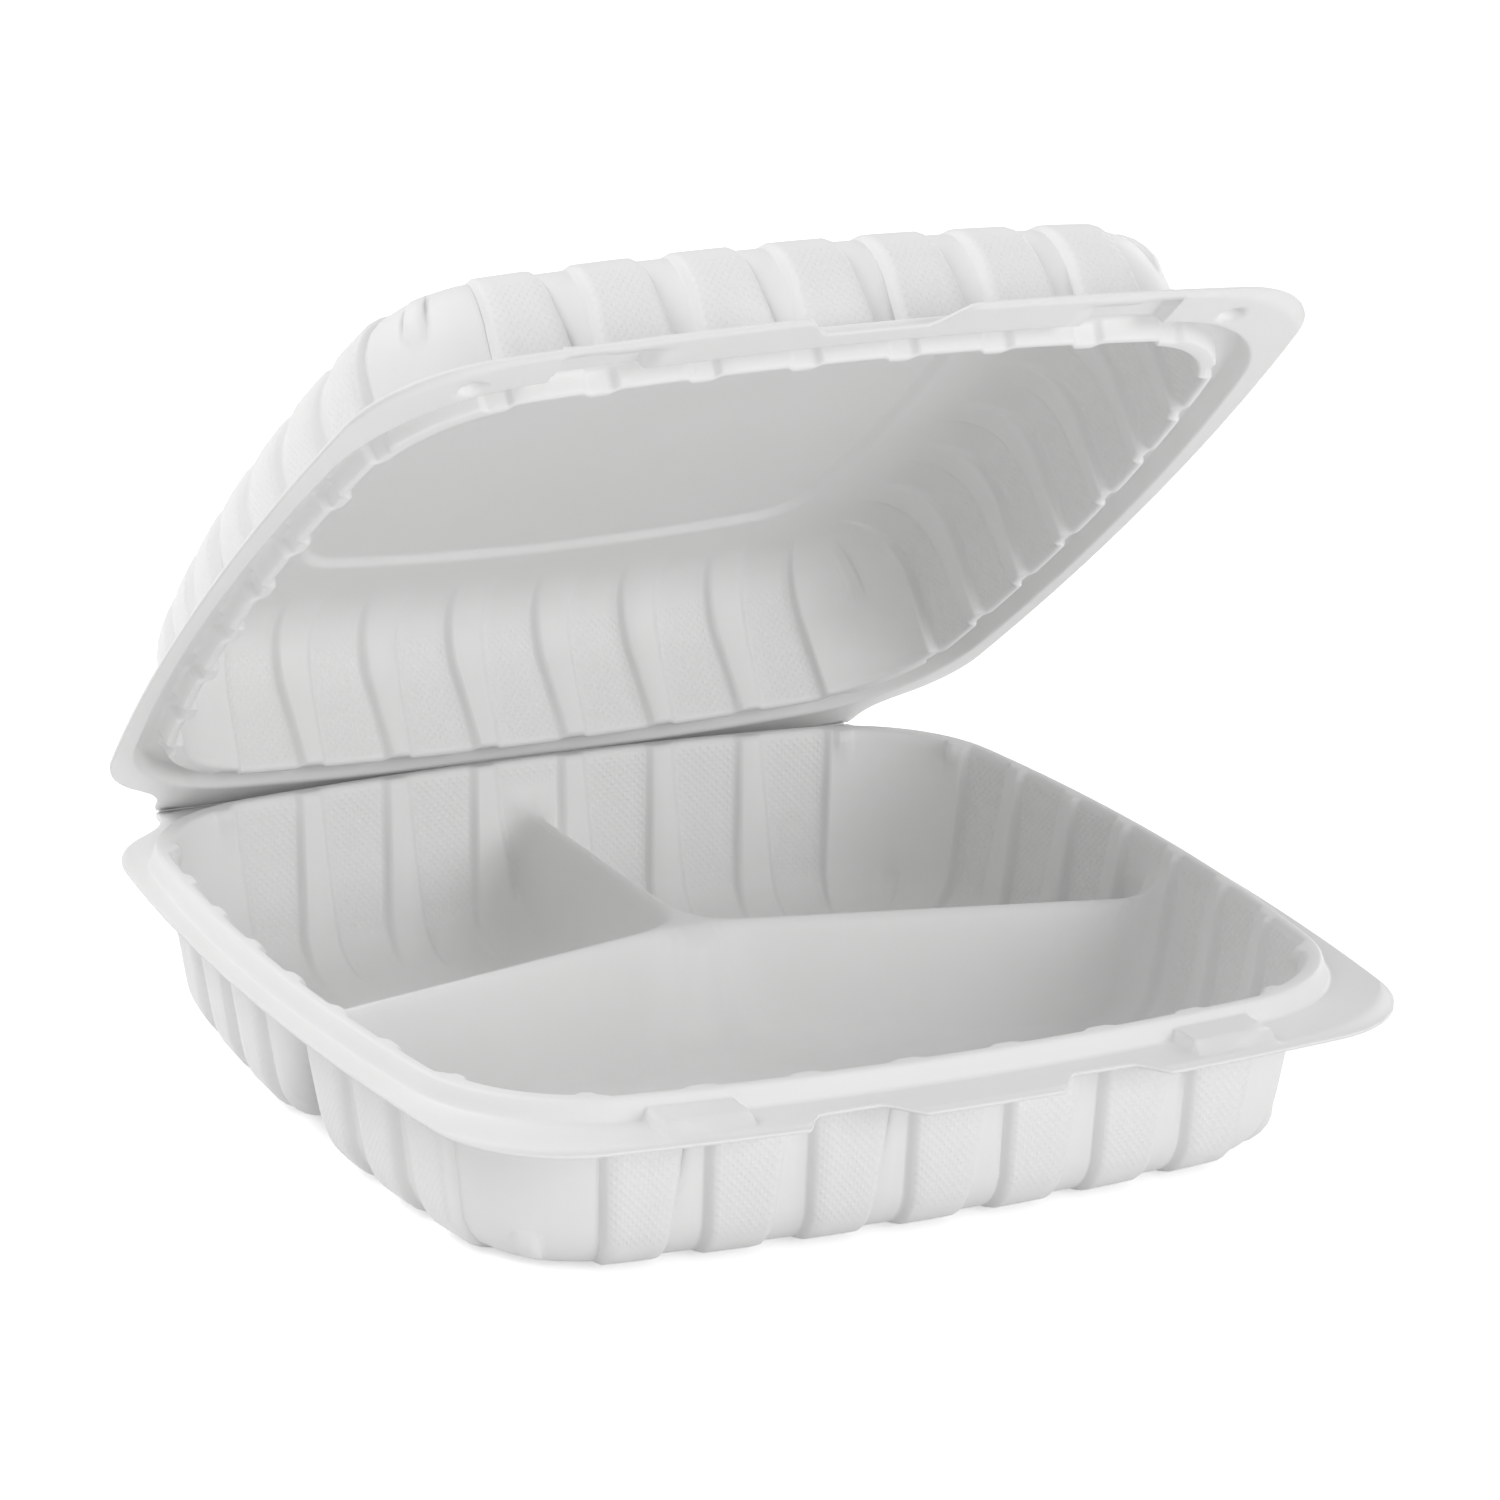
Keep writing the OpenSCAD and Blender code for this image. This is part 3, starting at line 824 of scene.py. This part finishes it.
class CONTAINER_OT_lid(bpy.types.Operator):
    """Builds the lid with its raised panel, ribs, rim, latch pockets and dimples"""

    bl_idname = "container.lid"
    bl_label = "Lid"

    def execute(self, context):
        size = context.scene.container_sizes
        form = Form(size)
        cup = Cup(size, True)
        grid, face, around, run = moulded_sheet(form, cup)
        grid[..., 2] = size.tray_h + size.gap + size.lid_h - grid[..., 2]
        obj = shell_object("lid_shell", form, opened(form, grid), face, around, run, True)
        colour = context.scene.container_colours.plastic
        obj.data.materials.append(plastic_material("lid_plastic", colour, size, True))
        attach(obj, "lid")
        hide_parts("lid")
        return {"FINISHED"}


class CONTAINER_OT_hinge(bpy.types.Operator):
    """Builds the thin web of the living hinge, which bends between tray and lid"""

    bl_idname = "container.hinge"
    bl_label = "Living hinge"

    def execute(self, context):
        size = context.scene.container_sizes
        form = Form(size)
        web = hinge_web(form)
        colour = context.scene.container_colours.plastic
        web.data.materials.append(plastic_material("hinge_plastic", colour, size, False))
        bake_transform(web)
        return {"FINISHED"}


def studio_material(colour):
    """Pale floor that stays near white to the camera and still takes the container's soft shadow.

    Its glow is only for rays that show the floor, so it is not sampled as a lamp.
    """
    material = bpy.data.materials.new("studio_floor")
    material.use_nodes = True
    material.cycles.emission_sampling = "NONE"
    tree = material.node_tree
    tree.nodes.clear()
    out = tree.nodes.new("ShaderNodeOutputMaterial")
    diffuse = tree.nodes.new("ShaderNodeBsdfDiffuse")
    diffuse.inputs["Color"].default_value = (*colour, 1)
    glow = node(tree, "ShaderNodeEmission", Color=(1, 1, 1, 1))
    path = tree.nodes.new("ShaderNodeLightPath")
    seen = maths(tree, "MAXIMUM", path.outputs["Is Camera Ray"], path.outputs["Is Glossy Ray"])
    seen = maths(tree, "MAXIMUM", seen, path.outputs["Is Transmission Ray"])
    tree.links.new(maths(tree, "MULTIPLY", seen, FLOOR_GLOW), glow.inputs["Strength"])
    both = tree.nodes.new("ShaderNodeAddShader")
    tree.links.new(diffuse.outputs[0], both.inputs[0])
    tree.links.new(glow.outputs[0], both.inputs[1])
    tree.links.new(both.outputs[0], out.inputs[0])
    return material


def white_surroundings():
    """World that is white to the camera and lights the container evenly."""
    world = bpy.data.worlds.new("studio")
    world.use_nodes = True
    tree = world.node_tree
    tree.nodes.clear()
    out = tree.nodes.new("ShaderNodeOutputWorld")
    sky = node(tree, "ShaderNodeBackground", Color=(1, 1, 1, 1))
    path = tree.nodes.new("ShaderNodeLightPath")
    seen = maths(tree, "MAXIMUM", path.outputs["Is Camera Ray"], path.outputs["Is Transmission Ray"])
    strength = maths(tree, "ADD", maths(tree, "MULTIPLY", seen, 1 - SKY_LIGHT), SKY_LIGHT)
    tree.links.new(strength, sky.inputs["Strength"])
    tree.links.new(sky.outputs[0], out.inputs[0])
    return world


def soft_lamp(name, place, power):
    """Round soft lamp at a place, turned towards the middle of the container."""
    lamp = bpy.data.lights.new(name, "AREA")
    lamp.shape = "DISK"
    lamp.size = LAMP_WIDTH
    lamp.energy = power
    obj = bpy.data.objects.new(name, lamp)
    obj.location = place
    obj.rotation_euler = (Vector(LAMP_AIM) - Vector(place)).to_track_quat("-Z", "Y").to_euler()
    return obj


def studio_camera():
    """Camera at the photograph's place and angle."""
    lens = bpy.data.cameras.new("camera")
    lens.sensor_width = CAMERA_SENSOR
    lens.lens = CAMERA_LENS
    lens.clip_end = CAMERA_REACH
    camera = bpy.data.objects.new("camera", lens)
    camera.location = CAMERA_PLACE
    camera.rotation_euler = tuple(math.radians(a) for a in CAMERA_DEGREES)
    return camera


class CONTAINER_OT_stage(bpy.types.Operator):
    """Sets up the floor, the soft lights, the white surroundings and the camera"""

    bl_idname = "container.stage"
    bl_label = "Studio"

    def execute(self, context):
        scene = context.scene
        mesh = bpy.data.meshes.new("floor")
        w = FLOOR_HALF
        mesh.from_pydata([(-w, -w, 0), (w, -w, 0), (w, w, 0), (-w, w, 0)], [], [(0, 1, 2, 3)])
        floor = bpy.data.objects.new("floor", mesh)
        scene.collection.objects.link(floor)
        mesh.materials.append(studio_material(scene.container_colours.floor))
        scene.world = white_surroundings()
        for name, place, power in LAMPS:
            scene.collection.objects.link(soft_lamp(name, place, power))
        camera = studio_camera()
        scene.collection.objects.link(camera)
        scene.camera = camera
        scene.view_settings.view_transform = "Standard"
        return {"FINISHED"}


class CONTAINER_PT_panel(bpy.types.Panel):
    """Lists the pieces of the container in the 3D view's sidebar"""

    bl_idname = "CONTAINER_PT_panel"
    bl_label = "Take-out container"
    bl_space_type = "VIEW_3D"
    bl_region_type = "UI"
    bl_category = "Container"

    def draw(self, context):
        for operator in OPERATORS:
            self.layout.operator(operator.bl_idname)
        for group in (context.scene.container_sizes, context.scene.container_colours):
            for key in group.__annotations__:
                self.layout.prop(group, key)


OPERATORS = (CONTAINER_OT_stage, CONTAINER_OT_tray, CONTAINER_OT_lid, CONTAINER_OT_hinge)
CLASSES = (ContainerSizes, ContainerColours, *OPERATORS, CONTAINER_PT_panel)


def register():
    """Registers the classes and hangs the property groups on the scene."""
    for one in CLASSES:
        bpy.utils.register_class(one)
    bpy.types.Scene.container_sizes = bpy.props.PointerProperty(type=ContainerSizes)
    bpy.types.Scene.container_colours = bpy.props.PointerProperty(type=ContainerColours)


def unregister():
    """Takes the property groups off the scene and unregisters the classes."""
    del bpy.types.Scene.container_colours
    del bpy.types.Scene.container_sizes
    for one in reversed(CLASSES):
        bpy.utils.unregister_class(one)


def main():
    """Builds every piece in order."""
    register()
    bpy.ops.container.stage()
    bpy.ops.container.tray()
    bpy.ops.container.lid()
    bpy.ops.container.hinge()


if __name__ == "__main__":
    main()
